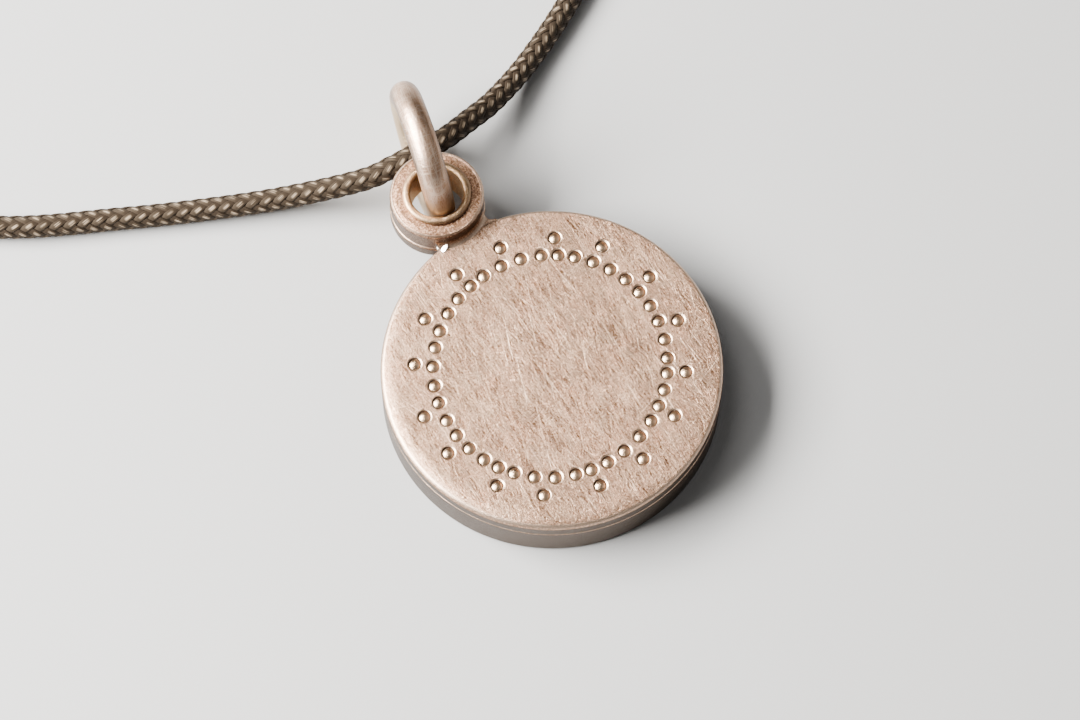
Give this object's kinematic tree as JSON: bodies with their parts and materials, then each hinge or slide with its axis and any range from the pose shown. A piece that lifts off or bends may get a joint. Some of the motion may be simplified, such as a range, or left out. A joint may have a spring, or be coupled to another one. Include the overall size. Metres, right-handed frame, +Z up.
{
  "type": "round swivel locket",
  "caption": "Flat round silver locket whose lid swivels sideways on a tubular eyelet, hung by a thick wire ring on a braided cord necklace that lies in a loop.",
  "frame": {"origin": "centre of the round case's underside, on the surface that the locket lies on", "axes": "+Z up through the lid, +Y from the centre of the case to the eyelet, +X to the right seen from above"},
  "size_m": [0.1149, 0.184, 0.0107],
  "materials": {
    "brushed_silver": "silver with a warm tint, matted with fine scratches in all directions",
    "braided_cord": "grey taupe cord, round braid of thin shiny yarns"
  },
  "bodies": {
    "case": {"base_case": "brushed_silver", "eyelet": "brushed_silver", "bail": "brushed_silver", "cord": "braided_cord", "clasp": "brushed_silver"},
    "lid": {"lid": "brushed_silver"}
  },
  "joints": [
    {"name": "lid_swivel", "type": "hinge", "parent": "case", "child": "lid", "pos_m": [0, 0.015, 0.00476], "axis": [0, 0, 1], "range_deg": [-80, 65]}
  ]
}
